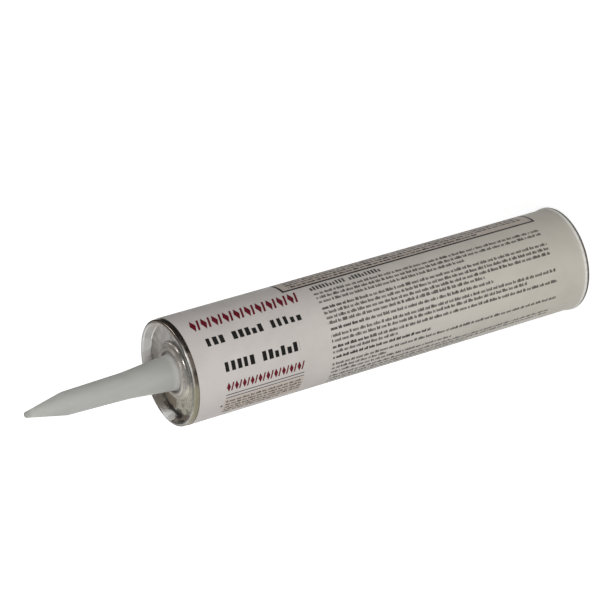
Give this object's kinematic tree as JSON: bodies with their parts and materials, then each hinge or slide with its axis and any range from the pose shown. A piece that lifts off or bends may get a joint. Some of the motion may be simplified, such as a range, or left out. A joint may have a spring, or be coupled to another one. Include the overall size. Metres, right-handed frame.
{
  "type": "caulk tube",
  "caption": "Caulk tube: printed fibre barrel with a rolled metal front end, a long closed nozzle and a plunger that slides in the open rear.",
  "frame": {"origin": "centre of the rear edge, on which the cartridge stands", "axes": "+Z along the barrel's axis, from the rear edge to the nozzle's tip; +X and +Y across it, the part being round"},
  "size_m": [0.0509, 0.051, 0.2862],
  "materials": {
    "fibre_board": "matt grey-brown board, foil-lined bore",
    "printed_paper": "lightly varnished paper wrap",
    "tinplate": "bright tinplate, lightly stained",
    "nozzle_plastic": "moulded, slightly waxy",
    "seal_foil": "plain foil",
    "sealant_paste": "smooth paste",
    "plunger_plastic": "moulded natural plastic"
  },
  "bodies": {
    "cartridge": {"tube": "fibre_board", "label": "printed_paper", "front_end": "tinplate", "nozzle": "nozzle_plastic", "nozzle_seal": "seal_foil", "sealant": "sealant_paste"},
    "plunger": {"plunger": "plunger_plastic"}
  },
  "joints": [
    {"name": "plunger_slide", "type": "slide", "parent": "cartridge", "child": "plunger", "axis": [0, 0, 1], "range_m": [0, 0.1822], "deforming": ["sealant"]}
  ]
}
